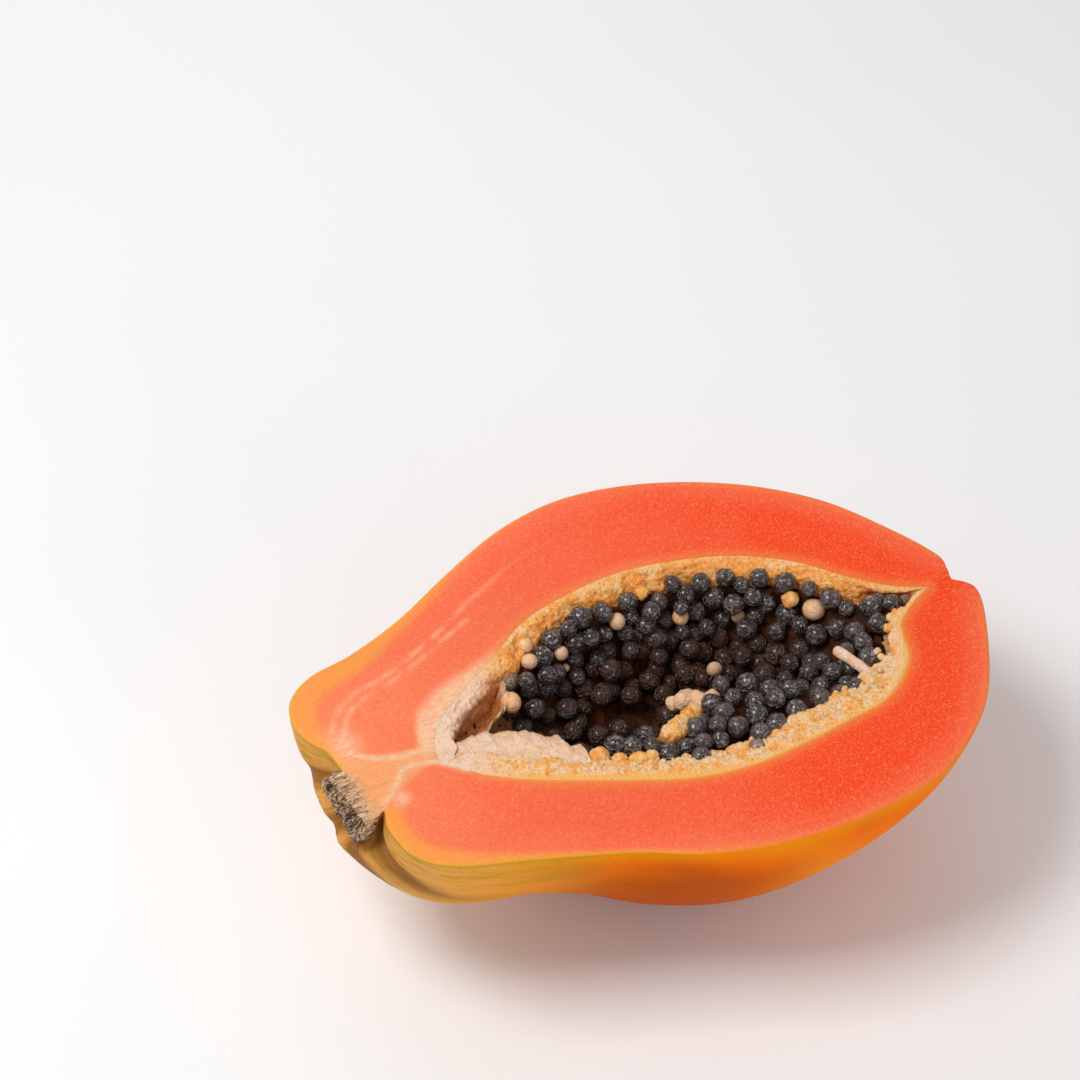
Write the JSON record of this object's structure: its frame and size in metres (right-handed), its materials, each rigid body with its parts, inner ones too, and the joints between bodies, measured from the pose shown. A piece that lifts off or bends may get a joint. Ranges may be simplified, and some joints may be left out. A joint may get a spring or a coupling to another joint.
{
  "type": "papaya half",
  "caption": "Ripe papaya cut in half lengthwise, cut face up, with a seed-filled cavity, spongy seed lining and a stub of dried stalk.",
  "frame": {"origin": "under the middle of the outline, on the surface that the half rests on", "axes": "+X from the stem end to the blossom end, +Z out of the cut face"},
  "size_m": [0.1806, 0.1266, 0.0629],
  "materials": {
    "flesh": "moist satin",
    "lining": "moist, grainy",
    "seeds": "wet gloss",
    "stalk": "rough, dry"
  },
  "bodies": {
    "root": {"flesh": "flesh", "lining": "lining", "seeds": "seeds", "stalk": "stalk"}
  },
  "joints": []
}
